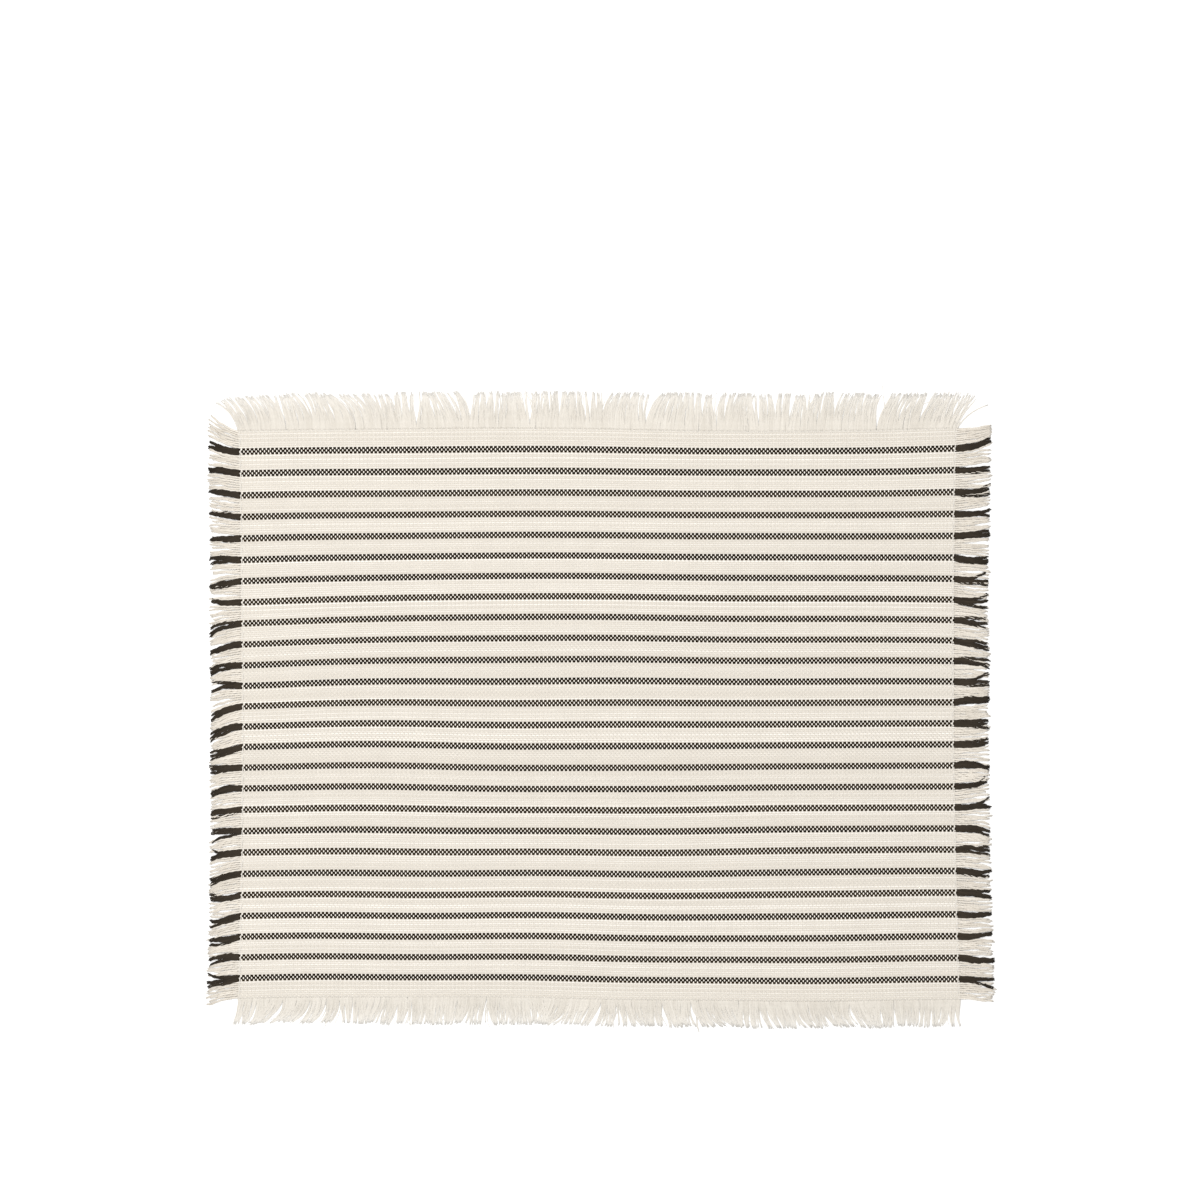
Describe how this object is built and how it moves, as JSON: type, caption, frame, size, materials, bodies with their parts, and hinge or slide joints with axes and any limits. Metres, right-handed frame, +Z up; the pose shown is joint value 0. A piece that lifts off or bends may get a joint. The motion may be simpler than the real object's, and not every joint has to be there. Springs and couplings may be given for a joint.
{
  "type": "bath mat",
  "caption": "Rectangular flat-woven bath mat with fine dark stripes across a cream ground and a cut yarn fringe on all four sides.",
  "frame": {"origin": "centre of the mat's whole outline, fringe included, on the face that rests on the floor", "axes": "+X along the long side, which the stripes follow; +Y across the stripes, towards the longer of the two fine fringes; +Z up out of the top face"},
  "size_m": [0.6272, 0.5084, 0.0035],
  "materials": {
    "cream_cotton": "matte woven cotton",
    "black_cotton": "matte woven cotton",
    "stitch_thread": "matte twisted cotton"
  },
  "bodies": {
    "root": {"black_stripe_01": "black_cotton", "black_stripe_02": "black_cotton", "black_stripe_03": "black_cotton", "black_stripe_04": "black_cotton", "black_stripe_05": "black_cotton", "black_stripe_06": "black_cotton", "black_stripe_07": "black_cotton", "black_stripe_08": "black_cotton", "black_stripe_09": "black_cotton", "black_stripe_10": "black_cotton", "black_stripe_11": "black_cotton", "black_stripe_12": "black_cotton", "black_stripe_13": "black_cotton", "black_stripe_14": "black_cotton", "black_stripe_15": "black_cotton", "black_stripe_16": "black_cotton", "black_stripe_17": "black_cotton", "black_stripe_18": "black_cotton", "black_stripe_19": "black_cotton", "black_stripe_20": "black_cotton", "black_stripe_21": "black_cotton", "black_stripe_22": "black_cotton", "black_stripe_23": "black_cotton", "black_stripe_24": "black_cotton", "black_stripe_25": "black_cotton", "black_stripe_26": "black_cotton", "cream_band_01": "cream_cotton", "cream_band_02": "cream_cotton", "cream_band_03": "cream_cotton", "cream_band_04": "cream_cotton", "cream_band_05": "cream_cotton", "cream_band_06": "cream_cotton", "cream_band_07": "cream_cotton", "cream_band_08": "cream_cotton", "cream_band_09": "cream_cotton", "cream_band_10": "cream_cotton", "cream_band_11": "cream_cotton", "cream_band_12": "cream_cotton", "cream_band_13": "cream_cotton", "cream_band_14": "cream_cotton", "cream_band_15": "cream_cotton", "cream_band_16": "cream_cotton", "cream_band_17": "cream_cotton", "cream_band_18": "cream_cotton", "cream_band_19": "cream_cotton", "cream_band_20": "cream_cotton", "cream_band_21": "cream_cotton", "cream_band_22": "cream_cotton", "cream_band_23": "cream_cotton", "cream_band_24": "cream_cotton", "cream_band_25": "cream_cotton", "cream_band_26": "cream_cotton", "cream_band_27": "cream_cotton", "fringe_bottom": "cream_cotton", "fringe_top": "cream_cotton", "lock_stitch_bottom": "stitch_thread", "lock_stitch_left": "stitch_thread", "lock_stitch_right": "stitch_thread", "lock_stitch_top": "stitch_thread"}
  },
  "joints": []
}
